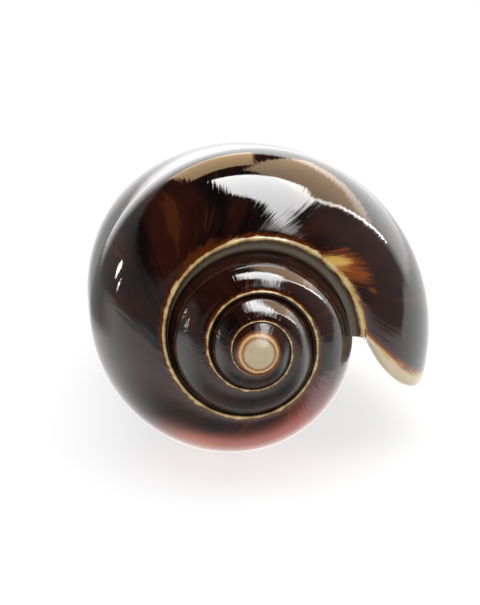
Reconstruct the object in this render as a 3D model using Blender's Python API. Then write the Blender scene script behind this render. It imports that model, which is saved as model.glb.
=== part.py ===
"""Olive shell: one hollow spiral solid, lying on its side with the spire towards -Y."""

import math

import bmesh
import bpy
from mathutils import Matrix, Vector

MM = 0.001

# Driving dimensions of the shell, in millimetres, measured from its own axis and the tip of its spire
SHELL_LENGTH = 42.0
LIP_RADIUS = 12.0
RIM_RADIUS = 6.95
GIRTH_DEPTH = 13.8
SUTURE_SLOPE = 0.95
CHANNEL_WIDTH = 0.75
RIM_WIDTH = 0.32
RIM_HEIGHT = 0.22
WALL_THICKNESS = 0.95
TIP_ROUNDING = 0.12

# Growth from one turn to the next
TURN_GROWTH = 1.84
GIRTH_GROWTH = 1.5

# Fullness of the shoulder, and taper of the front half of the body turn
SHOULDER_POWER = 1.7
TAPER_POWER = 2.0
PILLAR_RADIUS = 1.9
FRONT_RADIUS = 4.8
FRONT_OPENS_OVER = 160.0

# Angles round the axis, in degrees, growing from the tip to the lip; 360 is the +X side
STEP = 6.0
SPIRE_START = -760.0
SUTURE_END = 362.0
LIP_SWEEP = 18.0
LIP_CORNER_SWEEP = -14.0
SWEEP_STARTS_OVER = 120.0
START_RAMP = 90.0
HOLLOW_REACH = 150.0
HOLLOW_END_SPAN = 60.0

# Front notch between the lip and the pillar
NOTCH_DEPTH = 3.6
NOTCH_ANGLE = 285.0
NOTCH_HALF_SPAN = 95.0

# Slight flat under the body turn that the shell lies on, as the angles where it begins and ends
FLAT_START = 86.0
FLAT_END = 104.0

# How the shell leans as it lies
REST_PITCH = 4.6
REST_ROLL = 1.9

# Rows across the shell from one suture on
CHANNEL_ROW = 0
SHOULDER_ROW = 3
NEXT_SUTURE_ROW = 9
GIRTH_ROW = 11
LAST_ROW = 22
TURN_COLUMNS = round(360.0 / STEP)
LAST_COLUMN = TURN_COLUMNS
FIRST_COLUMN = round((SPIRE_START - SUTURE_END) / STEP) + LAST_COLUMN
HOLLOW_COLUMNS = round(HOLLOW_REACH / STEP)


def smooth(value):
    """Eases a value from 0 to 1."""
    value = min(max(value, 0.0), 1.0)
    return value * value * (3.0 - 2.0 * value)


def turn_angle(column):
    """Angle of a column where it leaves its suture."""
    return SUTURE_END + STEP * (column - LAST_COLUMN)


def growth(angle, rate=TURN_GROWTH):
    """Size at an angle, as a share of the size at 360 degrees."""
    return rate ** ((angle - 360.0) / 360.0)


def suture_share():
    """Part of the shoulder's width where the next suture lies."""
    inner = RIM_RADIUS / TURN_GROWTH
    return (RIM_RADIUS - CHANNEL_WIDTH - inner) / (LIP_RADIUS / TURN_GROWTH - inner)


def shoulder_point(angle, t):
    """Radius and depth on the convex part of a turn, from its suture at t = 0 to its girth at t = 1."""
    size = growth(angle)
    rim = RIM_RADIUS * size
    rim_depth = SUTURE_SLOPE * rim
    girth_depth = GIRTH_DEPTH * growth(angle, GIRTH_GROWTH)
    power = 2.0 / SHOULDER_POWER
    across = math.sin(t * math.pi / 2.0) ** power
    down = 1.0 - max(math.cos(t * math.pi / 2.0), 0.0) ** power
    bulge = smooth((angle - SPIRE_START) / START_RAMP)
    cone_depth = SUTURE_SLOPE * (rim + (LIP_RADIUS * size - rim) * across)
    depth = rim_depth + (girth_depth - rim_depth) * down
    return rim + (LIP_RADIUS * size - rim) * across, cone_depth + (depth - cone_depth) * bulge


def front_depth(angle):
    """Depth of the front edge, drawn back at the notch."""
    offset = abs(angle - NOTCH_ANGLE) / NOTCH_HALF_SPAN
    notch = NOTCH_DEPTH * smooth(1.0 - offset)
    return SHELL_LENGTH - notch


def front_radius(angle):
    """Radius of the front edge, from the pillar's end out to the open end of the body turn."""
    return PILLAR_RADIUS + (FRONT_RADIUS - PILLAR_RADIUS) * smooth(angle / FRONT_OPENS_OVER)


def body_point(angle, u):
    """Radius and depth in front of the girth, from u = 0 there to u = 1 at the front edge."""
    girth_depth = GIRTH_DEPTH * growth(angle, GIRTH_GROWTH)
    girth_radius = LIP_RADIUS * growth(angle)
    radius = girth_radius + (front_radius(angle) - girth_radius) * u ** TAPER_POWER
    return radius, girth_depth + (front_depth(angle) - girth_depth) * u


def row_share(row):
    """Place of a row on the shoulder, from 0 at the suture to 1 at the girth."""
    next_suture = math.asin(suture_share() ** (SHOULDER_POWER / 2.0)) * 2.0 / math.pi
    if row <= NEXT_SUTURE_ROW:
        return next_suture * (row - SHOULDER_ROW) / (NEXT_SUTURE_ROW - SHOULDER_ROW)
    return next_suture + (1.0 - next_suture) * (row - NEXT_SUTURE_ROW) / (GIRTH_ROW - NEXT_SUTURE_ROW)


def row_angle(column, row):
    """Angle of a grid point: the lines of growth sweep forward across the shoulder."""
    angle = turn_angle(column)
    onset = smooth((angle - turn_angle(0)) / SWEEP_STARTS_OVER)
    if row <= SHOULDER_ROW:
        return angle
    if row <= GIRTH_ROW:
        across = math.sin(row_share(row) * math.pi / 2.0) ** (2.0 / SHOULDER_POWER)
        return angle + LIP_SWEEP * onset * (1.0 - (1.0 - across) ** 2.4)
    u = (row - GIRTH_ROW) / (LAST_ROW - GIRTH_ROW)
    return angle + onset * (LIP_SWEEP + LIP_CORNER_SWEEP * u ** 4)


def section_point(angle, row):
    """Radius and depth of a row on the outer surface at an angle."""
    size = growth(angle)
    rim = RIM_RADIUS * size
    if row == CHANNEL_ROW:
        radius = rim - CHANNEL_WIDTH * size
        if angle - 360.0 < SPIRE_START:
            return radius, SUTURE_SLOPE * radius
        return radius, shoulder_point(angle - 360.0, row_share(NEXT_SUTURE_ROW))[1]
    if row < SHOULDER_ROW:
        raised = smooth((angle - SPIRE_START) / START_RAMP)
        radius = rim - RIM_WIDTH * size * (SHOULDER_ROW - row) / 2.0
        return radius, SUTURE_SLOPE * rim - RIM_HEIGHT * size * raised
    if row <= GIRTH_ROW:
        return shoulder_point(angle, row_share(row))
    return body_point(angle, (row - GIRTH_ROW) / (LAST_ROW - GIRTH_ROW))


def place(radius, angle, depth):
    """A point from its radius, angle and depth, in the shell's own axes."""
    turn = math.radians(angle)
    return Vector((radius * math.cos(turn), depth, -radius * math.sin(turn)))


def outer_place(column, row):
    """A point of the outer surface, on a chord of the turn where that is slightly flat."""
    angle = row_angle(column, row)
    if column > 0 and row >= GIRTH_ROW and FLAT_START < angle < FLAT_END:
        start = place(*on_turn(FLAT_START, row))
        end = place(*on_turn(FLAT_END, row))
        return start.lerp(end, (angle - FLAT_START) / (FLAT_END - FLAT_START))
    return place(*on_turn(angle, row))


def on_turn(angle, row):
    """Radius, angle and depth of a row of the outer surface."""
    radius, depth = section_point(angle, row)
    return radius, angle, depth


def inner_section(angle, row):
    """Radius and depth on the inside of the wall, square to the outer surface."""
    here = Vector(section_point(angle, row))
    before = Vector(section_point(angle, row - 1)) if row > SHOULDER_ROW else here
    after = Vector(section_point(angle, row + 1)) if row < LAST_ROW else here
    along = (after - before).normalized()
    return here + Vector((-along.y, along.x)) * WALL_THICKNESS


def hollow_place(step, row, pillar):
    """A point on the inside of the outer wall, drawn to the pillar towards the blind end."""
    column = LAST_COLUMN - step
    angle = row_angle(column, row)
    radius, depth = inner_section(angle, row)
    point = place(radius, angle, depth)
    closing = (step * STEP - (HOLLOW_REACH - HOLLOW_END_SPAN)) / HOLLOW_END_SPAN
    target = pillar[max(row, GIRTH_ROW)].co
    return point.lerp(target, smooth(closing))


def add_quad(mesh, first, second, third, fourth):
    """A face from four corners, or from three where two are the same."""
    corners = []
    for corner in (first, second, third, fourth):
        if corner not in corners:
            corners.append(corner)
    if len(corners) > 2:
        mesh.faces.new(corners)


def build_outer(mesh):
    """The outer surface; a turn ends on the suture of the next."""
    grid = {}
    for column in range(FIRST_COLUMN, LAST_COLUMN + 1):
        for row in range(NEXT_SUTURE_ROW):
            grid[column, row] = mesh.verts.new(outer_place(column, row))
    for column in range(FIRST_COLUMN, LAST_COLUMN + 1):
        if column <= 0:
            grid[column, NEXT_SUTURE_ROW] = grid[column + TURN_COLUMNS, CHANNEL_ROW]
        else:
            grid[column, NEXT_SUTURE_ROW] = mesh.verts.new(outer_place(column, NEXT_SUTURE_ROW))
    for column in range(0, LAST_COLUMN + 1):
        for row in range(NEXT_SUTURE_ROW + 1, LAST_ROW + 1):
            grid[column, row] = mesh.verts.new(outer_place(column, row))
    for column in range(FIRST_COLUMN, LAST_COLUMN):
        last = NEXT_SUTURE_ROW if column < 0 else LAST_ROW
        for row in range(last):
            add_quad(
                mesh,
                grid[column, row],
                grid[column, row + 1],
                grid[column + 1, row + 1],
                grid[column + 1, row],
            )
    return grid


def build_tip(mesh, grid):
    """The smooth bead at the tip, inside the first turn's suture."""
    ring = [grid[FIRST_COLUMN + k, CHANNEL_ROW] for k in range(TURN_COLUMNS)]
    for row in range(NEXT_SUTURE_ROW):
        add_quad(mesh, ring[-1], grid[FIRST_COLUMN, row + 1], grid[FIRST_COLUMN, row], ring[-1])
    ring_shares = (0.75, 0.5, 0.25)
    for share in ring_shares:
        inner = []
        for vert in ring_from(grid):
            depth = -TIP_ROUNDING + (vert.co.y + TIP_ROUNDING) * share ** 2
            inner.append(mesh.verts.new((vert.co.x * share, depth, vert.co.z * share)))
        for k in range(TURN_COLUMNS):
            following = (k + 1) % TURN_COLUMNS
            add_quad(mesh, ring[k], ring[following], inner[following], inner[k])
        ring = inner
    tip = mesh.verts.new((0.0, -TIP_ROUNDING, 0.0))
    for k in range(TURN_COLUMNS):
        add_quad(mesh, ring[k], ring[(k + 1) % TURN_COLUMNS], tip, ring[k])


def ring_from(grid):
    """The channel points of the first turn."""
    return [grid[FIRST_COLUMN + k, CHANNEL_ROW] for k in range(TURN_COLUMNS)]


def build_hollow(mesh, grid):
    """The hollow from the mouth back: the pillar side, the wall side and the blind end."""
    pillar = []
    for step in range(HOLLOW_COLUMNS + 1):
        line = {}
        for row in range(GIRTH_ROW, LAST_ROW + 1):
            if step == 0:
                line[row] = grid[0, row]
            else:
                line[row] = mesh.verts.new(outer_place(-step, row))
        pillar.append(line)
    wall = []
    for step in range(HOLLOW_COLUMNS + 1):
        line = {SHOULDER_ROW: pillar[step][GIRTH_ROW]}
        for row in range(SHOULDER_ROW + 1, LAST_ROW + 1):
            if step == HOLLOW_COLUMNS:
                line[row] = pillar[step][max(row, GIRTH_ROW)]
            else:
                line[row] = mesh.verts.new(hollow_place(step, row, pillar[step]))
        wall.append(line)
    for step in range(HOLLOW_COLUMNS):
        for row in range(GIRTH_ROW, LAST_ROW):
            add_quad(
                mesh,
                pillar[step][row],
                pillar[step + 1][row],
                pillar[step + 1][row + 1],
                pillar[step][row + 1],
            )
        for row in range(SHOULDER_ROW, LAST_ROW):
            add_quad(
                mesh,
                wall[step][row],
                wall[step][row + 1],
                wall[step + 1][row + 1],
                wall[step + 1][row],
            )
    return pillar, wall


def build_lip(mesh, grid, wall):
    """The edge of the lip, between the outer surface and the hollow's wall."""
    mouth = wall[0]
    corner = mouth[SHOULDER_ROW]
    suture = [grid[0, row] for row in range(NEXT_SUTURE_ROW, GIRTH_ROW + 1)]
    for row in range(len(suture) - 1):
        add_quad(mesh, grid[LAST_COLUMN, 1], suture[row], suture[row + 1], suture[row + 1])
    for row in range(1, SHOULDER_ROW):
        add_quad(mesh, grid[LAST_COLUMN, row + 1], grid[LAST_COLUMN, row], corner, corner)
    for row in range(SHOULDER_ROW, LAST_ROW):
        add_quad(
            mesh,
            grid[LAST_COLUMN, row + 1],
            grid[LAST_COLUMN, row],
            mouth[row],
            mouth[row + 1],
        )


def build_front(mesh, grid, pillar, wall):
    """The front edge of the wall, and the end of the pillar."""
    for step in range(HOLLOW_COLUMNS):
        column = LAST_COLUMN - step
        add_quad(
            mesh,
            grid[column - 1, LAST_ROW],
            grid[column, LAST_ROW],
            wall[step][LAST_ROW],
            wall[step + 1][LAST_ROW],
        )
    ring = [grid[column, LAST_ROW] for column in range(0, LAST_COLUMN - HOLLOW_COLUMNS + 1)]
    ring += [pillar[step][LAST_ROW] for step in range(HOLLOW_COLUMNS, 0, -1)]
    depth = max(vert.co.y for vert in ring)
    middle = mesh.verts.new((0.0, depth, 0.0))
    for k in range(len(ring)):
        add_quad(mesh, ring[k], middle, ring[(k + 1) % len(ring)], middle)


def build_shell():
    """The whole shell as one closed mesh, turned to the way it lies."""
    mesh = bmesh.new()
    grid = build_outer(mesh)
    build_tip(mesh, grid)
    pillar, wall = build_hollow(mesh, grid)
    build_lip(mesh, grid, wall)
    build_front(mesh, grid, pillar, wall)
    bmesh.ops.triangulate(mesh, faces=mesh.faces[:])
    bmesh.ops.recalc_face_normals(mesh, faces=mesh.faces[:])
    lean = Matrix.Rotation(math.radians(REST_ROLL), 4, "Y")
    lean = Matrix.Rotation(math.radians(-REST_PITCH), 4, "X") @ lean
    bmesh.ops.transform(mesh, matrix=Matrix.Scale(MM, 4) @ lean, verts=mesh.verts[:])
    low = Vector([min(vert.co[axis] for vert in mesh.verts) for axis in range(3)])
    high = Vector([max(vert.co[axis] for vert in mesh.verts) for axis in range(3)])
    middle = (low + high) / 2.0
    bmesh.ops.translate(mesh, vec=(-middle.x, -middle.y, -low.z), verts=mesh.verts[:])
    data = bpy.data.meshes.new("shell")
    mesh.to_mesh(data)
    mesh.free()
    return data


def shell_material():
    """Glossy, nearly black brown."""
    material = bpy.data.materials.new("Olive shell enamel")
    material.use_nodes = True
    surface = material.node_tree.nodes["Principled BSDF"]
    surface.inputs["Base Color"].default_value = (0.022, 0.012, 0.009, 1.0)
    surface.inputs["Roughness"].default_value = 0.12
    surface.inputs["Metallic"].default_value = 0.0
    return material


def main():
    """Clears the scene and adds the shell."""
    for item in list(bpy.data.objects):
        bpy.data.objects.remove(item)
    data = build_shell()
    data.materials.append(shell_material())
    data.shade_smooth()
    data.set_sharp_from_angle(angle=math.radians(35.0))
    shell = bpy.data.objects.new("shell", data)
    bpy.context.scene.collection.objects.link(shell)


main()
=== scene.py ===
import math

import bpy
import numpy as np
from mathutils import Matrix, Vector


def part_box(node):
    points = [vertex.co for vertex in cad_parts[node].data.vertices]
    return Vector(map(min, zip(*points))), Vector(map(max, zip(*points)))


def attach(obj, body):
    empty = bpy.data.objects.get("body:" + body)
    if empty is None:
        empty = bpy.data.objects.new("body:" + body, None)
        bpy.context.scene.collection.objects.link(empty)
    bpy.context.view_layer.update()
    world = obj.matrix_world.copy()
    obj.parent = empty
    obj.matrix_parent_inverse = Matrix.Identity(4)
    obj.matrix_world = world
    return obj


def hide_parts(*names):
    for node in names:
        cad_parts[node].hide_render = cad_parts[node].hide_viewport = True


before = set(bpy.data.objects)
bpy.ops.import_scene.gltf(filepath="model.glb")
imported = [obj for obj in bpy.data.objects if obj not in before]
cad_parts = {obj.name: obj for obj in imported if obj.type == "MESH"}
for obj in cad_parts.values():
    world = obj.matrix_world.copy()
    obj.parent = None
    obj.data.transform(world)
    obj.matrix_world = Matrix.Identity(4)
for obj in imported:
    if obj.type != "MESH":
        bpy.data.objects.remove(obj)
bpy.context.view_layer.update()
mm = 0.001

# The shell is laid out point by point. No primitive can be shaped into a grown spiral with a map that
# follows its growth, and its colours need that map.

# Its growth, as in the solid: millimetres, and degrees round its own axis, where 360 is the +X side
growth = {
    "length": 42.0,
    "lipRadius": 12.0,        # axis to lip at the girth
    "rimRadius": 6.95,        # axis to the suture's rim at the lip
    "girthDepth": 13.8,       # from the tip of the spire
    "sutureSlope": 0.95,      # down for each millimetre out
    "channelWidth": 0.75,     # in the solid
    "solidChannelAt": 410.0,  # and at this angle, past the lip
    "wall": 0.95,
    "turnGrowth": 1.84,       # each turn against the one before
    "girthGrowth": 1.5,       # and how far down its girth lies
    "shoulderPower": 1.7,     # 2 would be round
    "spireFlat": 0.38,        # share of a spire turn's shoulder that faces forward
    "spireBend": 0.16,
    "evenFall": 1.15,         # the rounder fall of its lower side, a power
    "steepShare": 0.75,       # how far round the spire the steep side reaches
    "joinOver": 50.0,         # the shoulder is fitted to the next turn's channel over these degrees
    "spireOver": 120.0,       # and takes the spire's profile over these
    "taperPower": 2.0,
    "pillarRadius": 1.9,
    "frontRadius": 4.8,
    "frontOpensOver": 160.0,  # degrees over which the front end widens from the pillar
    "spireStart": -760.0,     # the rim and the channel rise from here
    "tipStart": -1480.0,      # and the spiral is carried in to here, smooth
    "tipRounding": 0.5,       # mm
    "sutureEnd": 362.0,       # the lip's corner at the suture
    "lipSweep": 18.0,         # the lip runs this far forward of it
    "lipCornerSweep": -14.0,  # and back at the front end
    "sweepStartsOver": 120.0,
    "sweepPower": 2.4,        # how near the rim the sweep is reached
    "cornerPower": 4,         # how near the front end the corner turns
    "startRamp": 90.0,
    "hollowReach": 150.0,     # the mouth's passage, behind the lip
    "hollowEndSpan": 60.0,    # and its narrowing end
    "notchDepth": 3.6,        # at the front end
    "notchAngle": 285.0,
    "notchHalfSpan": 95.0,
    "restPitch": 4.6,         # how it lies
    "restRoll": 1.9,
}

# How finely the surface is laid out
grid = {
    "step": 2.0,              # degrees between columns
    "channelRows": 16,        # from the channel's floor over the rim
    "spireRows": 20,          # from the rim to the next suture
    "girthRows": 6,           # from there to the girth
    "frontRows": 60,          # from the girth to the front edge
    "crowding": 1.2,          # the spire's rows crowd towards the rim
    "mouthTurn": 2,           # the mouth's wall lies this many turns further on the growth map
    "sharpAbove": 40.0,       # degrees, for the shading
}

# The glaze the animal lays beside the mouth, degrees round from the pillar
callus = {
    "reachBack": 5.0,
    "reachFront": 62.0,
    "power": 1.6,
    "fadeFrom": 0.5,          # shares of that reach
    "fadeOver": 0.7,
}

# The front end of the pillar is rounded over
frontDome = {
    "rounds": 8,
    "height": 0.9,            # mm
    "ringMm": 0.55,           # between its rings, on the growth map
}

# The lip's edge
lip = {
    "rounds": 6,
    "bulge": 0.42,            # share of the wall
    "fadeTop": 8.0,           # rows over which the bulge comes in
    "fadeFront": 3.0,         # and goes at the front
}

# The raised rim along the suture, across and down from the shoulder's edge, at the lip's size
rim = {
    "curve": [(-0.64, 0.19), (-0.50, 0.18), (-0.38, 0.13), (-0.29, 0.0), (-0.225, -0.13),
              (-0.15, -0.17), (-0.06, -0.11)],
    "runsInto": (0.12, 0.02), # the shoulder's next point
    "crestPlace": 0.72,       # where the crest lies along that curve
    "wallAt": 0.26,           # foot of the rim's inner wall
    "channelOld": 0.50,       # whole width of the channel on the spire, at the lip's size
    "channelNew": 1.02,       # and towards the lip
    "opensFrom": 165.0,       # degrees
    "opensOver": 110.0,
    "wobble": 0.015,
    "waves": (17.0, 5.0),     # of the wobble, in a turn
    "waveShift": 1.0,         # of the slower one, radians
    "floorBelow": 0.14,       # the channel's floor under the suture, mm at the lip's size
    "floorBelowAbove": 0.34,  # and on the upper side of the spire
}


def smooth(value):
    value = np.clip(value, 0.0, 1.0)
    return value * value * (3.0 - 2.0 * value)


def sizeAt(angle, rate=None):
    return (rate or growth["turnGrowth"]) ** ((angle - 360.0) / 360.0)


def rounded(depth):
    # the spire's point is a small dome, not a needle
    return np.sqrt(np.maximum(depth, 0.0) ** 2 + growth["tipRounding"] ** 2)


def nextSuture():
    # the t where the next turn's channel lies
    inner = growth["rimRadius"] / growth["turnGrowth"]
    share = (growth["rimRadius"] - growth["channelWidth"] - inner) / (
        growth["lipRadius"] / growth["turnGrowth"] - inner)
    return math.asin(share ** (growth["shoulderPower"] / 2.0)) * 2.0 / math.pi


def channelWide(angle):
    # the channel is a hairline on the spire and opens out over the last half turn
    opening = smooth((angle - rim["opensFrom"]) / rim["opensOver"])
    return rim["channelOld"] + (rim["channelNew"] - rim["channelOld"]) * opening


def steepness(angle):
    # the spire's turns stand steeper above, and the channel below is little more than a line
    return smooth(growth["steepShare"] - growth["steepShare"] * np.sin(np.radians(angle)))


def floorBelow(angle):
    return rim["floorBelow"] + (rim["floorBelowAbove"] - rim["floorBelow"]) * steepness(angle)


def sutureReach(angle):
    # how far the shoulder is drawn out or in, to meet the next turn's channel
    inner = growth["rimRadius"]
    floor = (inner - channelWide(angle + 360.0)) * growth["turnGrowth"]
    across = math.sin(nextSuture() * math.pi / 2.0) ** (2.0 / growth["shoulderPower"])
    kept = (floor - inner) / ((growth["lipRadius"] - inner) * across)
    return 1.0 + (kept - 1.0) * smooth(-angle / growth["joinOver"])


def sutureLift(angle):
    # how much of the shoulder's fall is left, so that the next turn's channel stays shallow
    size = sizeAt(angle)
    start = growth["sutureSlope"] * growth["rimRadius"] * size
    end = start * growth["turnGrowth"]
    down = 1.0 - math.cos(nextSuture() * math.pi / 2.0) ** (2.0 / growth["shoulderPower"])
    floor = start + (growth["girthDepth"] * sizeAt(angle, growth["girthGrowth"]) - start) * down
    kept = (end + floorBelow(angle) * size * growth["turnGrowth"] - start) / (floor - start)
    return 1.0 + (kept - 1.0) * smooth(-angle / growth["joinOver"])


def spireFall(place, angle):
    # above, flat beside the rim and then a steep fall to the next turn's channel; below, an even one
    spots = (np.array([0.0, place, 1.0]) - growth["spireFlat"]) / growth["spireBend"]
    start, here, end = np.sqrt(spots ** 2 + 1.0) + spots
    even = 1.0 - math.sqrt(1.0 - place ** 2) ** growth["evenFall"]
    return even + ((here - start) / (end - start) - even) * steepness(angle)


def shoulderPoint(angle, t):
    # radius and depth from the suture (t 0) to the girth (t 1)
    size = sizeAt(angle)
    power = 2.0 / growth["shoulderPower"]
    rimRadius = growth["rimRadius"] * size
    girthRadius = growth["lipRadius"] * size
    rimDepth = growth["sutureSlope"] * rimRadius
    girthDepth = growth["girthDepth"] * sizeAt(angle, growth["girthGrowth"])
    across = np.sin(t * np.pi / 2.0) ** power
    down = 1.0 - np.maximum(np.cos(t * np.pi / 2.0), 0.0) ** power
    split = nextSuture()
    place = min(t / split, 1.0)
    edge = math.sin(split * math.pi / 2.0) ** power
    drop = 1.0 - math.cos(split * math.pi / 2.0) ** power
    onSpire = smooth(-angle / growth["spireOver"]) * (t < split)
    across = across + (edge * place - across) * onSpire
    down = down + (drop * spireFall(place, angle) - down) * onSpire
    radius = rimRadius + (girthRadius - rimRadius) * across * sutureReach(angle)
    coneDepth = growth["sutureSlope"] * radius
    bulge = smooth((angle - growth["spireStart"]) / growth["startRamp"])
    depth = rimDepth + (girthDepth - rimDepth) * down
    depth = np.where(angle < 0.0, rimDepth + (depth - rimDepth) * sutureLift(angle), depth)
    return radius, rounded(coneDepth + (depth - coneDepth) * bulge)


def frontDepth(angle):
    offset = np.abs(angle - growth["notchAngle"]) / growth["notchHalfSpan"]
    return growth["length"] - growth["notchDepth"] * smooth(1.0 - offset)


def frontPoint(angle, u):
    # radius and depth from the girth (u 0) to the front edge (u 1)
    girthDepth = growth["girthDepth"] * sizeAt(angle, growth["girthGrowth"])
    girthRadius = growth["lipRadius"] * sizeAt(angle)
    opening = smooth(angle / growth["frontOpensOver"])
    pillarRadius = growth["pillarRadius"]
    frontRadius = pillarRadius + (growth["frontRadius"] - pillarRadius) * opening
    radius = girthRadius + (frontRadius - girthRadius) * u ** growth["taperPower"]
    return radius, girthDepth + (frontDepth(angle) - girthDepth) * u


def rowList():
    # every row as (zone, place in the zone)
    split = nextSuture()
    channel, spire, girth, front = (grid[name] for name in (
        "channelRows", "spireRows", "girthRows", "frontRows"))
    listed = [("channel", k / channel) for k in range(channel)]
    listed += [("shoulder", split * (k / spire) ** grid["crowding"]) for k in range(spire)]
    listed += [("shoulder", split + (1.0 - split) * k / girth) for k in range(girth)]
    listed += [("front", k / front) for k in range(front + 1)]
    return listed


rows = rowList()
shoulderRow = grid["channelRows"]
sutureRow = shoulderRow + grid["spireRows"]
girthRow = sutureRow + grid["girthRows"]
lastRow = len(rows) - 1
turnColumns = round(360.0 / grid["step"])
lastColumn = turnColumns
firstColumn = round((growth["tipStart"] - growth["sutureEnd"]) / grid["step"]) + lastColumn
hollowColumns = round(growth["hollowReach"] / grid["step"])


def rimOffset(place):
    # smooth curve through the rim's points, from the channel's floor (0) to the shoulder's edge (1)
    points = [(-growth["channelWidth"], rim["floorBelow"])] + rim["curve"]
    points += [(0.0, 0.0), rim["runsInto"]]
    spot = place * (len(points) - 2)
    k = min(int(spot), len(points) - 3)
    f = spot - k
    before, here, after, later = (np.array(points[max(i, 0)]) for i in (k - 1, k, k + 1, k + 2))
    return 0.5 * (2 * here + (after - before) * f + (2 * before - 5 * here + 4 * after - later) * f ** 2
                  + (3 * here - before - 3 * after + later) * f ** 3)


def sectionPoint(angle, row):
    # radius and depth of a row of the outer surface
    zone, place = rows[row]
    if zone == "shoulder":
        return shoulderPoint(angle, place)
    if zone == "front":
        return frontPoint(angle, place)
    size = sizeAt(angle)
    rimRadius = growth["rimRadius"] * size
    rimDepth = growth["sutureSlope"] * rimRadius
    wide = channelWide(angle)
    # under the lip it turns to the solid's
    easing = smooth((growth["solidChannelAt"] - angle) / growth["joinOver"])
    wide = growth["channelWidth"] + (wide - growth["channelWidth"]) * easing
    floorRadius = rimRadius - wide * size
    floorDepth = shoulderPoint(angle - 360.0, nextSuture())[1]
    coneDepth = rounded(growth["sutureSlope"] * floorRadius)
    floorDepth = np.where(angle - 360.0 < growth["tipStart"], coneDepth, floorDepth)
    across, down = rimOffset(place)
    wallAt = rim["wallAt"]
    if across < -wallAt:
        # the channel's floor is stretched to its width here
        across = (across + wallAt) * (wide - wallAt) / (growth["channelWidth"] - wallAt) - wallAt
    raised = smooth((angle - growth["spireStart"]) / growth["startRamp"])
    onCone = growth["sutureSlope"] * across * size * (1.0 - raised)
    curveDepth = rounded(rimDepth) + down * size * raised + onCone
    fast, slow = (np.radians(angle) * waves for waves in rim["waves"])
    wobble = rim["wobble"] * size * np.sin(fast) * np.sin(slow + rim["waveShift"])
    curveDepth = curveDepth + wobble * math.sin(math.pi * place)
    toFloor = max(1.0 - place * (len(rim["curve"]) + 1), 0.0)
    return rimRadius + across * size, curveDepth + (floorDepth - curveDepth) * toFloor


def rowAngle(angle, row):
    # the lines of growth sweep forward across the shoulder
    zone, place = rows[row]
    onset = smooth((angle - (growth["sutureEnd"] - 360.0)) / growth["sweepStartsOver"])
    if zone == "channel":
        return angle
    if zone == "shoulder":
        across = math.sin(place * math.pi / 2.0) ** (2.0 / growth["shoulderPower"])
        return angle + growth["lipSweep"] * onset * (1.0 - (1.0 - across) ** growth["sweepPower"])
    corner = growth["lipCornerSweep"] * place ** growth["cornerPower"]
    return angle + onset * (growth["lipSweep"] + corner)


def rowDistances():
    # millimetres along the section from the crest of the rim, at the lip's size
    spots = np.array([[float(value) for value in sectionPoint(360.0, row)] for row in range(lastRow + 1)])
    along = np.concatenate([[0.0], np.cumsum(np.hypot(*np.diff(spots, axis=0).T))])
    return along - along[round(shoulderRow * rim["crestPlace"])]


rowMm = rowDistances()
frontMm = rowMm[-1]


def inSpace(radius, angle, depth):
    turn = np.radians(angle)
    return np.stack([radius * np.cos(turn), depth + 0.0 * radius, -radius * np.sin(turn)], -1)


def lean():
    roll = Matrix.Rotation(math.radians(growth["restRoll"]), 3, "Y")
    return np.array(Matrix.Rotation(math.radians(-growth["restPitch"]), 3, "X") @ roll)


class Points:
    # collects points, faces and each face corner's place on the growth map
    def __init__(self):
        self.places = []
        self.faces = []
        self.corners = []
        self.inside = []      # 1 on the mouth's wall, rising across the lip's edge
        self.callus = []      # 1 on the pale glaze beside the mouth and on the pillar

    def add(self, place, inside=0.0, callus=0.0):
        self.places.append(place)
        self.inside.append(inside)
        self.callus.append(callus)
        return len(self.places) - 1

    def face(self, corners):
        # corners are (point, u, v); repeated points are dropped
        kept = []
        for corner in corners:
            if corner[0] not in [k[0] for k in kept]:
                kept.append(corner)
        if len(kept) > 2:
            self.faces.append([k[0] for k in kept])
            self.corners.append([(k[1], k[2]) for k in kept])


def glazed(column, row):
    # the pale glaze starts at the mouth and runs further round towards the front
    if row < girthRow:
        return 0.0
    share = ((row - girthRow) / (lastRow - girthRow)) ** callus["power"]
    reach = callus["reachBack"] + (callus["reachFront"] - callus["reachBack"]) * share
    past = column * grid["step"] - reach * callus["fadeFrom"]
    return float(1.0 - smooth(past / (reach * callus["fadeOver"])))


def outerSurface(points):
    index = {}
    columns = np.arange(firstColumn, lastColumn + 1)
    angles = growth["sutureEnd"] + grid["step"] * (columns - lastColumn)
    for row in range(lastRow + 1):
        rowAngles = rowAngle(angles, row)
        radius, depth = sectionPoint(rowAngles, row)
        spots = inSpace(radius, rowAngles, depth)
        for k, column in enumerate(columns):
            if row < sutureRow or column > 0 or (row > sutureRow and column == 0):
                index[column, row] = points.add(spots[k], callus=glazed(column, row))
    for column in range(firstColumn, 1):
        index[column, sutureRow] = index[column + turnColumns, 0]
    for column in range(firstColumn, lastColumn):
        end = sutureRow if column < 0 else lastRow
        for row in range(end):
            corners = ((column, row), (column, row + 1), (column + 1, row + 1), (column + 1, row))
            points.face([(index[c, r], c / turnColumns, rowMm[r]) for c, r in corners])
    return index


def closeTip(points, index):
    # the spiral is a fraction of a millimetre across here, and one point closes it
    ring = [index[firstColumn + k, 0] for k in range(turnColumns)]
    u = firstColumn / turnColumns
    for row in range(sutureRow):
        points.face([(ring[-1], u, 0), (index[firstColumn, row + 1], u, 0),
                     (index[firstColumn, row], u, 0)])
    top = points.add(np.array([0.0, growth["tipRounding"], 0.0]))
    for c in range(turnColumns):
        points.face([(ring[c], u, 0), (ring[(c + 1) % turnColumns], u, 0), (top, u, 0)])


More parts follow.
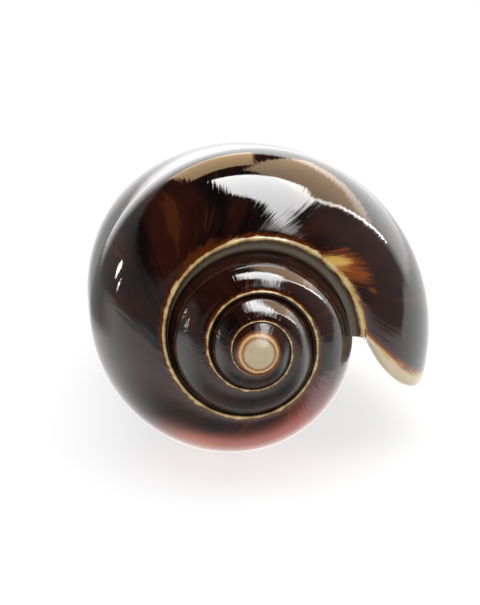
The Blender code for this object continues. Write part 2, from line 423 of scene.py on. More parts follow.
def innerSection(angle, row):
    # the inside of the wall, square to the outer surface
    here = np.array(sectionPoint(angle, row))
    before = np.array(sectionPoint(angle, max(row - 1, shoulderRow)))
    after = np.array(sectionPoint(angle, min(row + 1, lastRow)))
    along = after - before
    along = along / np.hypot(along[0], along[1])
    return here + np.array([-along[1], along[0]]) * growth["wall"]


def hollow(points, index):
    # the mouth: the pillar's side and the wall's, which meet where the passage ends
    pillar = []
    for step in range(hollowColumns + 1):
        line = {}
        for row in range(girthRow, lastRow + 1):
            if step == 0:
                line[row] = index[0, row]
            else:
                angle = growth["sutureEnd"] - 360.0 - grid["step"] * step
                radius, depth = sectionPoint(rowAngle(angle, row), row)
                line[row] = points.add(inSpace(radius, rowAngle(angle, row), depth), callus=1.0)
        pillar.append(line)
    wall = []
    for step in range(hollowColumns + 1):
        line = {shoulderRow: pillar[step][girthRow]}
        for row in range(shoulderRow + 1, lastRow + 1):
            target = pillar[step][max(row, girthRow)]
            if step == hollowColumns:
                line[row] = target
            else:
                angle = rowAngle(growth["sutureEnd"] - grid["step"] * step, row)
                radius, depth = innerSection(angle, row)
                toEnd = growth["hollowReach"] - step * grid["step"]
                closing = smooth(1.0 - toEnd / growth["hollowEndSpan"])
                spot = inSpace(radius, angle, depth)
                line[row] = points.add(spot + (points.places[target] - spot) * closing, inside=1.0)
        wall.append(line)
    for step in range(hollowColumns):
        u, w = -step / turnColumns, -(step + 1) / turnColumns
        for row in range(girthRow, lastRow):
            v, x = rowMm[row], rowMm[row + 1]
            points.face([(pillar[step][row], u, v), (pillar[step + 1][row], w, v),
                         (pillar[step + 1][row + 1], w, x), (pillar[step][row + 1], u, x)])
        u, w = u + grid["mouthTurn"], w + grid["mouthTurn"]
        for row in range(shoulderRow, lastRow):
            v, x = rowMm[row], rowMm[row + 1]
            points.face([(wall[step][row], u, v), (wall[step][row + 1], u, x),
                         (wall[step + 1][row + 1], w, x), (wall[step + 1][row], w, v)])
    return pillar, wall


def lipEdge(points, index, wall):
    # the wall's cut edge, rounded over from the outer surface to the mouth
    mouth = wall[0]
    corner = mouth[shoulderRow]
    for row in range(sutureRow, girthRow):
        points.face([(index[lastColumn, 1], 1, 0), (index[0, row], 1, 0), (index[0, row + 1], 1, 0)])
    for row in range(1, shoulderRow):
        points.face([(index[lastColumn, row + 1], 1, 0), (index[lastColumn, row], 1, 0), (corner, 1, 0)])
    edge = [[index[lastColumn, row] for row in range(shoulderRow, lastRow + 1)]]
    for k in range(1, lip["rounds"]):
        turn = math.pi * k / lip["rounds"]
        across, out = (1.0 - math.cos(turn)) / 2.0, math.sin(turn) * lip["bulge"]
        line = []
        for row in range(shoulderRow, lastRow + 1):
            start, end = points.places[index[lastColumn, row]], points.places[mouth[row]]
            ahead = start - points.places[index[lastColumn - 1, row]]
            ahead = ahead / np.linalg.norm(ahead)
            fade = float(smooth((row - shoulderRow) / lip["fadeTop"])
                         * smooth((lastRow - row) / lip["fadeFront"]))
            spot = start + (end - start) * across + ahead * out * fade * np.linalg.norm(end - start)
            line.append(points.add(spot, inside=across))
        edge.append(line)
    edge.append([mouth[row] for row in range(shoulderRow, lastRow + 1)])
    for a, b in zip(edge, edge[1:]):
        for k in range(len(a) - 1):
            row = shoulderRow + k
            points.face([(a[k + 1], 1, rowMm[row + 1]), (a[k], 1, rowMm[row]),
                         (b[k], 1, rowMm[row]), (b[k + 1], 1, rowMm[row + 1])])
    points.face([(line[0], 1, 0) for line in edge] + [(corner, 1, 0)])
    return [line[-1] for line in edge]


def frontEdge(points, index, pillar, wall, tips):
    # the wall's front edge, and the dome over the pillar's end
    points.face([(tip, 1, frontMm) for tip in reversed(tips)])
    for step in range(hollowColumns):
        column = lastColumn - step
        u, w = column / turnColumns, (column - 1) / turnColumns
        points.face([(index[column - 1, lastRow], w, frontMm), (index[column, lastRow], u, frontMm),
                     (wall[step][lastRow], u, frontMm), (wall[step + 1][lastRow], w, frontMm)])
    ring = [index[column, lastRow] for column in range(0, lastColumn - hollowColumns + 1)]
    ring += [pillar[step][lastRow] for step in range(hollowColumns, 0, -1)]
    bodyEnd = len(points.places)
    middle = np.mean([points.places[k] for k in ring], axis=0)
    outer = ring
    for k in range(1, frontDome["rounds"] + 1):
        turn = math.pi / 2.0 * k / frontDome["rounds"]
        rise = np.array([0.0, frontDome["height"] * math.sin(turn), 0.0])
        if k == frontDome["rounds"]:
            inner = [points.add(middle + rise, callus=1.0)] * len(ring)
        else:
            inner = [points.add(middle + (points.places[spot] - middle) * math.cos(turn) + rise, callus=1.0)
                     for spot in ring]
        v, x = frontMm + frontDome["ringMm"] * (k - 1), frontMm + frontDome["ringMm"] * k
        for c in range(len(ring)):
            d = (c + 1) % len(ring)
            u, w = c / turnColumns, (c + 1) / turnColumns
            points.face([(outer[c], u, v), (inner[c], u, x), (inner[d], w, x), (outer[d], w, v)])
        outer = inner
    return bodyEnd


def buildShell():
    points = Points()
    index = outerSurface(points)
    closeTip(points, index)
    pillar, wall = hollow(points, index)
    tips = lipEdge(points, index, wall)
    bodyEnd = frontEdge(points, index, pillar, wall, tips)
    axisRadius = np.hypot(*np.array(points.places)[:, (0, 2)].T)
    places = np.array(points.places) @ lean().T
    # it lies where the solid lies: the same middle, front end and lowest point
    low, high = places[:bodyEnd].min(0), places[:bodyEnd].max(0)
    solidLow, solidHigh = (np.array(corner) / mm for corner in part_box("shell"))
    shift = (solidLow + solidHigh - low - high) / 2.0
    shift[1] = solidHigh[1] - high[1]
    shift[2] = solidLow[2] - low[2]
    mesh = bpy.data.meshes.new("oliveShell")
    mesh.from_pydata(((places + shift) * mm).tolist(), [], points.faces)
    uv = mesh.uv_layers.new(name="growthMap")
    uv.data.foreach_set("uv", [
        value for corners in points.corners for corner in corners for value in corner])
    for name, values in (
            ("inside", points.inside), ("callus", points.callus), ("axisMm", axisRadius)):
        mesh.attributes.new(name, "FLOAT", "POINT").data.foreach_set("value", values)
    shell = bpy.data.objects.new("oliveShell", mesh)
    bpy.context.scene.collection.objects.link(shell)
    bpy.ops.object.select_all(action="DESELECT")
    shell.select_set(True)
    bpy.context.view_layer.objects.active = shell
    bpy.ops.object.mode_set(mode="EDIT")
    bpy.ops.mesh.select_all(action="SELECT")
    bpy.ops.mesh.normals_make_consistent(inside=False)
    bpy.ops.object.mode_set(mode="OBJECT")
    bpy.ops.object.shade_smooth_by_angle(angle=math.radians(grid["sharpAbove"]))
    print("shell laid out,", len(mesh.polygons), "faces")
    return shell, shift


shell, axisShift = buildShell()
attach(shell, "root")
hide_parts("shell")


def colour(hexValue):
    # sRGB hex to the linear values Blender works in
    parts = [int(hexValue[k:k + 2], 16) / 255.0 for k in (1, 3, 5)]
    return tuple(c / 12.92 if c <= 0.04045 else ((c + 0.055) / 1.055) ** 2.4 for c in parts) + (1.0,)


def addNode(tree, kind, inputs=None, stops=None, **settings):
    # a node with its settings; an input is a value, or another node's output to link
    node = tree.nodes.new(kind)
    for name, value in settings.items():
        setattr(node, name, value)
    for name, value in (inputs or {}).items():
        if isinstance(value, bpy.types.NodeSocket):
            tree.links.new(value, node.inputs[name])
        else:
            node.inputs[name].default_value = value
    if stops:
        ramp = node.color_ramp.elements
        while len(ramp) < len(stops):
            ramp.new(0.5)
        for element, (position, value) in zip(ramp, stops):
            element.position = position
            element.color = colour(value) if isinstance(value, str) else (value, value, value, 1.0)
    return node


# Aragonite laid down in thin sheets under a clear glaze the live animal keeps polished: it looks like
# dark varnished horn, sharp in the highlights, with colour that sits a little below the surface
enamel = {
    "night": "#0b0708",       # most of the body
    "chocolate": "#2c110b",   # where the dark thins
    "amber": "#6c350f",       # streaks along the lines of growth
    "ember": "#8a4312",       # ragged line behind the lip's pale edge
    "rust": "#5c2a08",        # beside the rim
    "straw": "#d6ae5e",       # flames
    "cream": "#d2b883",       # crest of the rim
    "olive": "#594b3a",       # floor of the channel, newest part
    "umber": "#22160f",       # and its older turns
    "blushAndReflection": "#9c4a40",       # red of the underside, brightened as a painted reflection of the floor, and paling further out
    # painted reflection of the floor at the underside's outer edge
    "paleReflection": "#cb8373",
    "bead": "#b8a888",
    "porcelain": "#cfc3b2",   # pillar and mouth
    "lilac": "#8f8089",       # deep in the mouth
    "ior": 1.55,              # between aragonite and the organic film over it
    "roughness": 0.035,
    "wornRoughness": 0.38,    # on the bead and in the channel, where nothing polishes it
    "turnMm": 75.4,           # one turn at the lip, so a pattern can be given in millimetres
    "lineHeight": 0.0000075,  # metres
    "ridgeHeight": 3.0,       # times the lines'
    "dullest": 2.2,           # times that roughness, where the polish is patchy
    "crestAt": 0.02,          # mm from the rim
    "crestWear": (0.38, 0.62),    # how much of the patches thins the cream
    "crestHalfMm": (0.12, 0.30),  # half of its width, thinnest and widest
}

# Each pattern: millimetres across the growth lines and along them, detail, roughness, distortion
grain = {
    "smoke": (5.5, 8.8, 5.0, 0.60, 0.7),      # cloudy colour below the glaze
    "ragged": (0.54, 2.0, 5.0, 0.65, 0.0),    # frayed edges of the marks
    "streaks": (2.2, 15.0, 6.0, 0.60, 0.5),
    "patches": (2.4, 3.0, 4.0, 0.60, 0.0),    # wear, and how thick the rim's cream lies
    "lines": (0.22, 6.0, 3.0, 0.55, 0.0),     # growth lines, drawn coarser than life to show
    "ridges": (1.5, 9.0, 2.0, 0.50, 0.0),     # and the slower waves between them
}

# Low folds wind along the pillar, closer to straight than the growth lines
pillarFolds = {
    "spacingMm": 1.5,
    "lean": 9.0,              # mm forward in a turn
    "height": 0.00011,        # metres
}

# Places moved by a pattern, or slanted by the turn: what is added, how much of it, and to what
movedPlaces = {
    "frayedDown": ("ragged", -0.9, "down"),
    "slantedDown": ("turn", -12.0, "down"),
    "smokyDown": ("smoke", -14.0, "down"),
    "patchyDown": ("patches", 1.6, "down"),
    "bandDown": ("turn", -6.0, "down"),
    "frayedBand": ("ragged", 0.35, "bandDown"),
    "frayedTurn": ("ragged", 0.014, "turn"),
    "frayedGlaze": ("ragged", 0.35, "callus"),
    "smokyAxis": ("smoke", 0.12, "axisMm"),
    "foldDown": ("turn", pillarFolds["lean"], "down"),
}

# Where each finish begins and ends: what is read, from, to, its share at both, and the run between
masks = {
    "rustShare": ("frayedDown", -0.20, 0.18, 0.95, 0.0, "SMOOTHSTEP"),
    "lowTurn": ("turn", 0.345, 0.265, 0.0, 1.0, "SMOOTHSTEP"),            # underside's red, partly a painted floor reflection
    "outward": ("slantedDown", -1.7, 1.0, 0.0, 0.95, "SMOOTHSTEP"),
    "started": ("turn", 0.05, 0.14, 0.0, 1.0, "LINEAR"),
    "fading": ("smokyDown", 1.0, 8.0, 1.0, 0.10, "SMOOTHSTEP"),
    # further out the underside's red pales into a painted reflection of the floor
    "palingToReflection": ("patchyDown", 2.6, 5.6, 0.0, 1.0, "LINEAR"),
    "bandPlace": ("frayedBand", frontMm - 9.5, frontMm - 1.5, 0.0, 1.0, "LINEAR"),
    "crestOn": ("offCrest", 0.7, 1.25, 1.0, 0.0, "SMOOTHSTEP"),
    "crestShade": ("patches", 0.36, 0.60, 0.35, 1.0, "LINEAR"),
    "inChannel": ("down", -0.18, -0.30, 0.0, 1.0, "LINEAR"),
    "newChannel": ("turn", 0.50, 0.68, 0.0, 1.0, "SMOOTHSTEP"),
    "young": ("turn", -2.10, -2.02, 1.0, 0.0, "SMOOTHSTEP"),              # first half turn
    "beadDisc": ("axisMm", 1.22, 1.40, 1.0, 0.0, "LINEAR"),
    "beadPlace": ("smokyAxis", 0.0, 1.5, 0.0, 1.0, "LINEAR"),
    "newestPlace": ("frayedTurn", 0.987, 1.012, 0.0, 1.0, "LINEAR"),      # lip's newest edge
    "newest": ("frayedTurn", 0.991, 0.999, 0.0, 1.0, "SMOOTHSTEP"),
    "glazeOn": ("frayedGlaze", 0.45, 0.75, 0.0, 0.95, "SMOOTHSTEP"),
    "lipShare": ("inside", 0.0, 0.06, 0.0, 1.0, "LINEAR"),
    "pillar": ("callus", 0.55, 0.95, 0.0, 1.0, "SMOOTHSTEP"),
    "foldReach": ("down", 9.0, 14.0, 0.25, 1.0, "SMOOTHSTEP"),
    "overEnd": ("down", frontMm + 0.3, frontMm + 2.6, 1.0, 0.1, "LINEAR"),
    "stain": ("folds", -0.2, -1.0, 0.0, 0.55, "SMOOTHSTEP"),
    "deepIn": ("turn", 1.98, 1.72, 0.0, 0.9, "SMOOTHSTEP"),               # mouth's far end
    "wornTip": ("axisMm", 1.0, 1.5, 1.0, 0.0, "LINEAR"),
    "wornChannel": ("down", -0.18, -0.30, 0.0, 0.9, "LINEAR"),
    "polish": ("patches", 0.35, 0.75, enamel["roughness"],
               enamel["roughness"] * enamel["dullest"], "LINEAR"),
}

# Shares that switch at a limit
limits = {
    "onSpire": ("turn", "LESS_THAN", -1.0),
    "offRim": ("down", "GREATER_THAN", 0.3),
    "onGlaze": ("callus", "GREATER_THAN", 0.02),
    "inMouth": ("turn", "GREATER_THAN", 1.2),
}

# Shares that hold only where all of these do
joined = {
    "blushReflectionShare": ("lowTurn", "outward", "started", "fading"),
    "crestShare": ("crestOn", "crestShade"),
    "beadOn": ("beadDisc", "onSpire"),
    "newestShare": ("newest", "offRim"),
    "glazeShare": ("glazeOn", "onGlaze"),
    "onPillar": ("pillar", "foldReach", "overEnd"),
    "stainShare": ("stain", "onPillar", "smoke"),
    "deepShare": ("deepIn", "inMouth"),
    "tipWorn": ("wornTip", "onSpire"),
}

# Colours or shares that change along what they read
ramps = {
    "body": ("smoke", [(0.38, "night"), (0.60, "chocolate")]),
    "streakShare": ("streaks", [(0.60, 0.0), (0.74, 0.55)]),
    # the underside's red, paling further out into a painted reflection of the floor
    "blushReflectionColour": ("palingToReflection", [(0.0, "blushAndReflection"), (1.0, "paleReflection")]),
    "channelColour": ("newChannel", [(0.0, "umber"), (1.0, "olive")]),
    # a paler band winds round the front end, between two lines
    "bandShare": ("bandPlace", [(0.0, 0.0), (0.02, 0.85), (0.05, 0.30), (0.40, 0.45), (0.43, 0.85),
                                (0.46, 0.15)]),
    # the bead the shell hatched with is cream inside a ring of amber
    "beadColour": ("beadPlace", [(0.0, "bead"), (0.57, "bead"), (0.66, "ember"), (0.75, "cream"),
                                 (0.82, "ember"), (0.92, "chocolate")]),
    "newestColour": ("newestPlace", [(0.22, "rust"), (0.46, "ember"), (0.64, "cream"),
                                     (0.86, "porcelain")]),
    "lipColour": ("inside", [(0.0, "porcelain"), (0.5, "cream"), (0.8, "porcelain")]),
}

# Placed marks: turn, millimetres from the rim, their half sizes, colour and strength
marks = [
    (0.884, 0.75, 0.032, 1.35, "ember", 0.85),
    (0.876, 0.50, 0.017, 0.85, "straw", 0.90),
    (0.940, 0.14, 0.065, 0.30, "straw", 0.62),
    (0.919, 1.45, 0.006, 0.33, "amber", 0.90),
    (0.545, 4.0, 0.035, 3.4, "night", 0.85),
    (0.612, 4.2, 0.012, 2.8, "amber", 0.22),
    (0.650, 0.5, 0.045, 0.5, "rust", 0.60),
    (0.150, 0.5, 0.060, 0.5, "rust", 0.60),
    (0.095, 2.3, 0.050, 1.7, "lilac", 0.36),
]
markFray = {"amount": 2.0, "from": 1.4, "to": 2.1}    # the marks' edges, in half sizes

# What lies over what: the share that it covers, and its colour
underMarks = [
    ("streakShare", "amber"),
    ("rustShare", "rust"),            # beside the rim, frayed along the growth lines
    ("blushReflectionShare", "blushReflectionColour"),    # low on the body turn, and under it: its red, brightened and paled outward as a painted reflection of the floor
    ("bandShare", "ember"),           # round the front end
]
overMarks = [
    ("inChannel", "channelColour"),
    ("crestShare", "cream"),          # it comes and goes between cream and rust
    ("beadShare", "beadColour"),      # with the first half turn, still pale
    ("newestShare", "newestColour"),  # the lip's edge, pale behind a ragged amber line
    ("glazeShare", "porcelain"),      # beside the mouth
    ("lipShare", "lipColour"),        # and the mouth itself
    ("stainShare", "ember"),          # between the pillar's folds
    ("deepShare", "lilac"),           # deep in the mouth
]


def readSurface(tree, growthMap):
    # every value that the enamel's colours and polish depend on, by name
    split = addNode(tree, "ShaderNodeSeparateXYZ", {"Vector": growthMap})
    read = {"turn": split.outputs["X"], "down": split.outputs["Y"]}
    for name in ("inside", "callus", "axisMm"):
        read[name] = addNode(tree, "ShaderNodeAttribute", attribute_name=name).outputs["Fac"]
    for name, (across, along, detail, roughness, distortion) in grain.items():
        spot = addNode(tree, "ShaderNodeMapping", {
            "Vector": growthMap, "Scale": (enamel["turnMm"] / across, 1.0 / along, 1.0)})
        read[name] = addNode(tree, "ShaderNodeTexNoise", {
            "Vector": spot.outputs["Vector"], "Scale": 1.0, "Detail": detail,
            "Roughness": roughness, "Distortion": distortion}).outputs["Fac"]
    for name, (added, amount, place) in movedPlaces.items():
        read[name] = addNode(tree, "ShaderNodeMath", {0: read[added], 1: amount, 2: read[place]},
                             operation="MULTIPLY_ADD").outputs[0]

    folds = addNode(tree, "ShaderNodeMath", {
        0: read["foldDown"], 1: 2.0 * math.pi / pillarFolds["spacingMm"]}, operation="MULTIPLY")
    read["folds"] = addNode(tree, "ShaderNodeMath", {0: folds.outputs[0]}, operation="SINE").outputs[0]

    # how far off the rim's crest, as a share of the cream's own half width there
    (wornFrom, wornTo), (thin, wide) = enamel["crestWear"], enamel["crestHalfMm"]
    crestHalf = addNode(tree, "ShaderNodeMapRange", {
        "Value": read["patches"], "From Min": wornFrom, "From Max": wornTo, "To Min": thin, "To Max": wide})
    off = addNode(tree, "ShaderNodeMath", {0: read["down"], 1: enamel["crestAt"]}, operation="SUBTRACT")
    off = addNode(tree, "ShaderNodeMath", {0: off.outputs[0]}, operation="ABSOLUTE")
    read["offCrest"] = addNode(tree, "ShaderNodeMath", {
        0: off.outputs[0], 1: crestHalf.outputs[0]}, operation="DIVIDE").outputs[0]

    for name, (place, start, end, atStart, atEnd, run) in masks.items():
        read[name] = addNode(tree, "ShaderNodeMapRange", {
            "Value": read[place], "From Min": start, "From Max": end, "To Min": atStart,
            "To Max": atEnd}, interpolation_type=run).outputs[0]
    for name, (place, side, limit) in limits.items():
        read[name] = addNode(tree, "ShaderNodeMath", {0: read[place], 1: limit}, operation=side).outputs[0]
    for name, (first, *others) in joined.items():
        read[name] = read[first]
        for other in others:
            read[name] = addNode(tree, "ShaderNodeMath", {0: read[name], 1: read[other]},
                                 operation="MULTIPLY").outputs[0]
    for name, first, second in (("beadShare", "beadOn", "young"), ("worn", "tipWorn", "wornChannel")):
        read[name] = addNode(tree, "ShaderNodeMath", {0: read[first], 1: read[second]},
                             operation="MAXIMUM").outputs[0]
    for name, (place, stops) in ramps.items():
        read[name] = addNode(tree, "ShaderNodeValToRGB", {"Fac": read[place]}, stops=[
            (position, enamel.get(value, value)) for position, value in stops]).outputs["Color"]
    return read


def markShare(tree, growthMap, ragged, mark):
    # an oval patch with an edge frayed along the growth lines
    turn, down, halfTurn, halfDown, name, strength = mark
    offset = addNode(tree, "ShaderNodeVectorMath", {
        0: growthMap, 1: (turn, down, 0.0)}, operation="SUBTRACT").outputs[0]
    offset = addNode(tree, "ShaderNodeVectorMath", {
        0: offset, 1: (1.0 / halfTurn, 1.0 / halfDown, 0.0)}, operation="MULTIPLY").outputs[0]
    away = addNode(tree, "ShaderNodeVectorMath", {0: offset}, operation="LENGTH").outputs["Value"]
    away = addNode(tree, "ShaderNodeMath", {0: ragged, 1: markFray["amount"], 2: away},
                   operation="MULTIPLY_ADD").outputs[0]
    return addNode(tree, "ShaderNodeMapRange", {
        "Value": away, "From Min": markFray["from"], "From Max": markFray["to"], "To Min": strength,
        "To Max": 0.0}, interpolation_type="SMOOTHSTEP").outputs[0]


def enamelMaterial():
    material = bpy.data.materials.new("aragoniteEnamel")
    material.use_nodes = True
    tree = material.node_tree
    tree.nodes.clear()
    growthMap = addNode(tree, "ShaderNodeUVMap", uv_map="growthMap").outputs["UV"]
    read = readSurface(tree, growthMap)

    coats = [(read[share], tint) for share, tint in underMarks]
    coats += [(markShare(tree, growthMap, read["ragged"], mark), mark[4]) for mark in marks]
    coats += [(read[share], tint) for share, tint in overMarks]
    body = read["body"]
    for share, tint in coats:
        body = addNode(tree, "ShaderNodeMix", {
            0: share, 6: body, 7: read[tint] if tint in read else colour(enamel[tint])},
            data_type="RGBA").outputs[2]

    # growth lines, and the folds on the pillar
    height = addNode(tree, "ShaderNodeMath", {
        0: read["ridges"], 1: enamel["ridgeHeight"], 2: read["lines"]}, operation="MULTIPLY_ADD")
    bump = addNode(tree, "ShaderNodeBump", {
        "Strength": 1.0, "Distance": enamel["lineHeight"], "Height": height.outputs[0]})
    foldHeight = addNode(tree, "ShaderNodeMath", {0: read["folds"], 1: read["onPillar"]},
                         operation="MULTIPLY")
    bump = addNode(tree, "ShaderNodeBump", {
        "Strength": 1.0, "Distance": pillarFolds["height"], "Height": foldHeight.outputs[0],
        "Normal": bump.outputs["Normal"]})
    roughness = addNode(tree, "ShaderNodeMix", {
        0: read["worn"], 2: read["polish"], 3: enamel["wornRoughness"]}, data_type="FLOAT")
    surface = addNode(tree, "ShaderNodeBsdfPrincipled", {
        "Base Color": body, "Roughness": roughness.outputs[0], "IOR": enamel["ior"],
        "Normal": bump.outputs["Normal"]})
    addNode(tree, "ShaderNodeOutputMaterial", {"Surface": surface.outputs["BSDF"]})
    return material


shell.data.materials.append(enamelMaterial())
print("enamel made")

# The photograph's view: direction from the spire's tip in the shell's own axes
photo = {
    "elevation": 11.1,
    "azimuth": -7.0,
    "distance": 150.0,        # mm from the tip of the spire
    "pixelsPerMm": 17.87,     # at the tip
    "tipAt": (261.2, 357.6),  # where the tip falls in the frame
    "frame": (480, 605),
    "filmMm": 36.0,
    "clip": (0.01, 10.0),     # metres
}


def addCamera():
    e, a = math.radians(photo["elevation"]), math.radians(photo["azimuth"])
    toCamera = np.array([math.cos(e) * math.sin(a), -math.cos(e) * math.cos(a), math.sin(e)])
    toCamera = Vector(lean() @ toCamera)
    right = (-toCamera).cross(Vector(lean() @ np.array([0.0, 0.0, 1.0]))).normalized()
    up = right.cross(-toCamera).normalized()
    turn = Matrix((right, up, toCamera)).transposed().to_4x4()
    camera = bpy.data.objects.new("camera", bpy.data.cameras.new("camera"))
    bpy.context.scene.collection.objects.link(camera)
    tip = Vector(axisShift) * mm
    camera.matrix_world = Matrix.Translation(tip + toCamera * photo["distance"] * mm) @ turn
    width, height = photo["frame"]
    long = max(width, height)
    camera.data.sensor_fit = "AUTO"
    camera.data.sensor_width = photo["filmMm"]
    camera.data.lens = photo["filmMm"] * photo["pixelsPerMm"] * photo["distance"] / long
    camera.data.shift_x = (width / 2.0 - photo["tipAt"][0]) / long
    camera.data.shift_y = (photo["tipAt"][1] - height / 2.0) / long
    camera.data.clip_start, camera.data.clip_end = photo["clip"]
    bpy.context.scene.camera = camera
    print("camera", [round(c, 4) for c in camera.location], "lens", round(camera.data.lens, 1))


addCamera()

# Directions are degrees round from the camera's side (-Y) towards +X, and degrees up.
# The gloss lights are seen only in the glaze, and the soft ones light its colours and the floor.
lights = {
    "distance": 0.9,          # metres to each light
    "middle": (0.0, -0.012, 0.012),
    # azimuth, elevation, width and height in degrees, roll, brightness, colour
    "gloss": {
        "tanWallRight": (137.0, 40.0, 42.0, 36.0, 0.0, 3.6, "#dabb98"),
        "tanWallLeft": (-176.0, 36.0, 23.0, 22.0, 0.0, 3.7, "#dcb98c"),
        "windowGap": (115.0, 32.0, 1.6, 38.0, 14.0, 18.0, "#ffffff"),
        "lampOne": (-123.0, 13.0, 2.6, 2.6, 0.0, 100.0, "#fff4e4"),
        "lampTwo": (-116.0, 9.0, 0.9, 1.5, 0.0, 80.0, "#fff4e4"),
    },
    "soft": {
        "ceiling": (150.0, 76.0, 95.0, 95.0, 0.0, 2.0, "#ffffff"),
        "front": (-15.0, 24.0, 50.0, 40.0, 0.0, 1.4, "#ffffff"),
    },
}


def addLight(kind, name, azimuth, elevation, wide, high, roll, bright, tint):
    a, e = math.radians(azimuth), math.radians(elevation)
    away = Vector((math.sin(a) * math.cos(e), -math.cos(a) * math.cos(e), math.sin(e)))
    data = bpy.data.lights.new(name, "AREA")
    data.shape = "RECTANGLE"
    data.size = 2.0 * lights["distance"] * math.tan(math.radians(wide / 2.0))
    data.size_y = 2.0 * lights["distance"] * math.tan(math.radians(high / 2.0))
    data.energy = bright * math.pi * data.size * data.size_y
    data.color = colour(tint)[:3]
    light = bpy.data.objects.new(name, data)
    bpy.context.scene.collection.objects.link(light)
    facing = away.to_track_quat("Z", "Y").to_matrix().to_4x4() @ Matrix.Rotation(math.radians(roll), 4, "Z")
    light.matrix_world = Matrix.Translation(Vector(lights["middle"]) + away * lights["distance"]) @ facing
    light.visible_diffuse = kind == "soft"
    light.visible_glossy = kind == "gloss"


for kind in ("gloss", "soft"):
    for name, row in lights[kind].items():
        addLight(kind, name, *row)
print("lights placed")

skylight = {
    # its outline as seen in the glaze: metres to the right and back, for each metre up
    "outline": [(-0.18, 0.64), (0.64, 0.50), (0.80, 0.20), (0.71, -0.04), (0.63, -0.33), (0.70, -0.76),
                (1.06, -2.0), (1.40, -3.3), (0.95, -2.1), (0.47, -0.66), (0.30, -0.19), (0.21, -0.04),
                (0.10, 0.04), (-0.045, 0.215), (-0.09, 0.35)],
    "height": 1.0,            # metres
    "over": -0.012,           # metres back from the origin: it is drawn round the spire
    "bright": 12.5,
}


def addSkylight():
    height = skylight["height"]
    mesh = bpy.data.meshes.new("skylight")
    mesh.from_pydata([(x * height, y * height + skylight["over"], height) for x, y in skylight["outline"]],
                     [], [tuple(range(len(skylight["outline"])))])
    cloth = bpy.data.objects.new("skylight", mesh)
    bpy.context.scene.collection.objects.link(cloth)
    material = bpy.data.materials.new("litCloth")
    material.use_nodes = True
    material.node_tree.nodes.clear()
    glow = addNode(material.node_tree, "ShaderNodeEmission", {
        "Color": (1.0, 1.0, 1.0, 1.0), "Strength": skylight["bright"]})
    addNode(material.node_tree, "ShaderNodeOutputMaterial", {"Surface": glow.outputs["Emission"]})
    mesh.materials.append(material)
    cloth.visible_diffuse = False
    cloth.visible_shadow = False
    print("skylight hung")


addSkylight()

paper = {
    "size": 6.0,              # metres
    "colour": "#8f8f8f",
    "glow": 0.74,             # lit from below too, so its shadows stay pale
    "roughness": 0.9,
}


def addFloor():
    bpy.ops.object.select_all(action="DESELECT")
    bpy.ops.mesh.primitive_plane_add(size=paper["size"], location=(0.0, 0.0, 0.0))
    floor = bpy.context.active_object
    floor.name = "floor"
    material = bpy.data.materials.new("whitePaperSweep")
    material.use_nodes = True
    sheet = material.node_tree.nodes["Principled BSDF"]
    sheet.inputs["Base Color"].default_value = colour(paper["colour"])
    sheet.inputs["Roughness"].default_value = paper["roughness"]
    sheet.inputs["Specular IOR Level"].default_value = 0.0
    sheet.inputs["Emission Color"].default_value = (1.0, 1.0, 1.0, 1.0)
    sheet.inputs["Emission Strength"].default_value = paper["glow"]
    floor.data.materials.append(material)
    floor.visible_glossy = False      # the room gives the glaze its lower half
    print("floor laid")


addFloor()

# What the glaze sees all round: white walls low down behind and to the left, a dark room in front
# and above, and a lit table below
room = {
    "wall": 2.2,              # the white walls
    "wallLeft": 0.26,         # and their shaded part
    "tableEdge": 0.40,        # beyond the table's edge, behind on the left
    "wallFaces": (-0.8, 0.6, 0.0),    # the way to the wall: left and back
}

# Each border in the room: what is read, from, to, and the value at both
borders = {
    "low": ("up", 0.44, 0.49, 1.0, 0.0),
    "behind": ("toWall", -0.47, -0.32, 0.0, 1.0),
    "toRight": ("right", -0.12, 0.06, 0.0, 1.0),
    "straightBack": ("back", 0.84, 0.95, 0.0, 1.0),
    "dark": ("right", 0.45, 0.85, 0.012, 0.28),       # brightness of the room, towards its right
    "table": ("up", -0.45, -0.80, 1.25, 0.38),        # and of the table, down to the shell's own shade
    "far": ("up", -0.30, -0.22, 0.0, 1.0),
    "left": ("right", 0.04, -0.10, 0.0, 1.0),
    "toBack": ("back", 0.45, 0.72, 0.0, 1.0),
    # on the right the dark room is seen over the table's near edge
    "lowered": ("right", 0.0, 1.0, 0.0, 0.24),
    "atSide": ("back", 0.36, 0.10, 0.0, 1.0),
}
tableLine = (-0.04, 0.03)     # how far up the table ends and the room begins


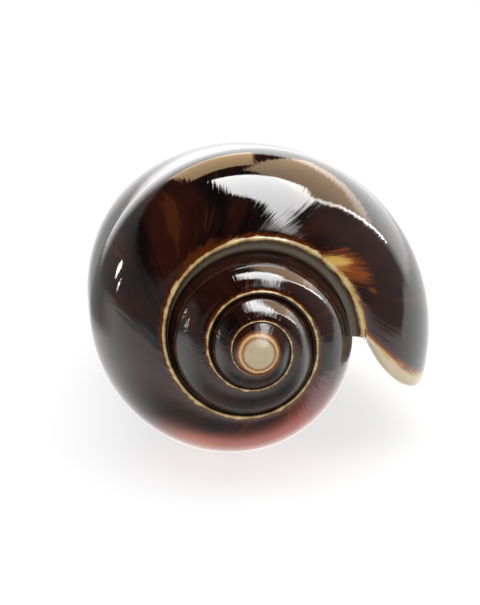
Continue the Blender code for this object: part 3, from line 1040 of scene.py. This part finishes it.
def addWorld():
    world = bpy.data.worlds.new("studio")
    bpy.context.scene.world = world
    world.use_nodes = True
    tree = world.node_tree
    tree.nodes.clear()
    way = addNode(tree, "ShaderNodeTexCoord").outputs["Generated"]
    split = addNode(tree, "ShaderNodeSeparateXYZ", {"Vector": way})
    toWall = addNode(tree, "ShaderNodeVectorMath", {0: way, 1: room["wallFaces"]}, operation="DOT_PRODUCT")
    read = {"right": split.outputs["X"], "back": split.outputs["Y"], "up": split.outputs["Z"],
            "toWall": toWall.outputs["Value"]}
    for name, (place, start, end, atStart, atEnd) in borders.items():
        read[name] = addNode(tree, "ShaderNodeMapRange", {
            "Value": read[place], "From Min": start, "From Max": end, "To Min": atStart,
            "To Max": atEnd}).outputs[0]
    # what both or either of two hold, and the line where the table ends
    for name, first, second, kind in (("onWall", "low", "behind", "MULTIPLY"),
                                      ("lit", "toRight", "straightBack", "MAXIMUM"),
                                      ("farLeft", "far", "left", "MULTIPLY"),
                                      ("edge", "farLeft", "toBack", "MULTIPLY"),
                                      ("sunk", "lowered", "atSide", "MULTIPLY"),
                                      ("height", "sunk", "up", "ADD")):
        read[name] = addNode(tree, "ShaderNodeMath", {0: read[first], 1: read[second]},
                             operation=kind).outputs[0]
    read["above"] = addNode(tree, "ShaderNodeMapRange", {
        "Value": read["height"], "From Min": tableLine[0], "From Max": tableLine[1]}).outputs[0]
    read["wall"] = addNode(tree, "ShaderNodeMix", {
        0: read["lit"], 2: room["wallLeft"], 3: room["wall"]}, data_type="FLOAT").outputs[0]
    read["upper"] = addNode(tree, "ShaderNodeMix", {
        0: read["onWall"], 2: read["dark"], 3: read["wall"]}, data_type="FLOAT").outputs[0]
    read["lower"] = addNode(tree, "ShaderNodeMix", {
        0: read["edge"], 2: read["table"], 3: room["tableEdge"]}, data_type="FLOAT").outputs[0]
    bright = addNode(tree, "ShaderNodeMix", {
        0: read["above"], 2: read["lower"], 3: read["upper"]}, data_type="FLOAT").outputs[0]
    back = addNode(tree, "ShaderNodeBackground", {"Color": (1.0, 1.0, 1.0, 1.0), "Strength": bright})
    addNode(tree, "ShaderNodeOutputWorld", {"Surface": back.outputs["Background"]})
    print("room drawn round it")


addWorld()
bpy.context.scene.view_settings.view_transform = "Standard"
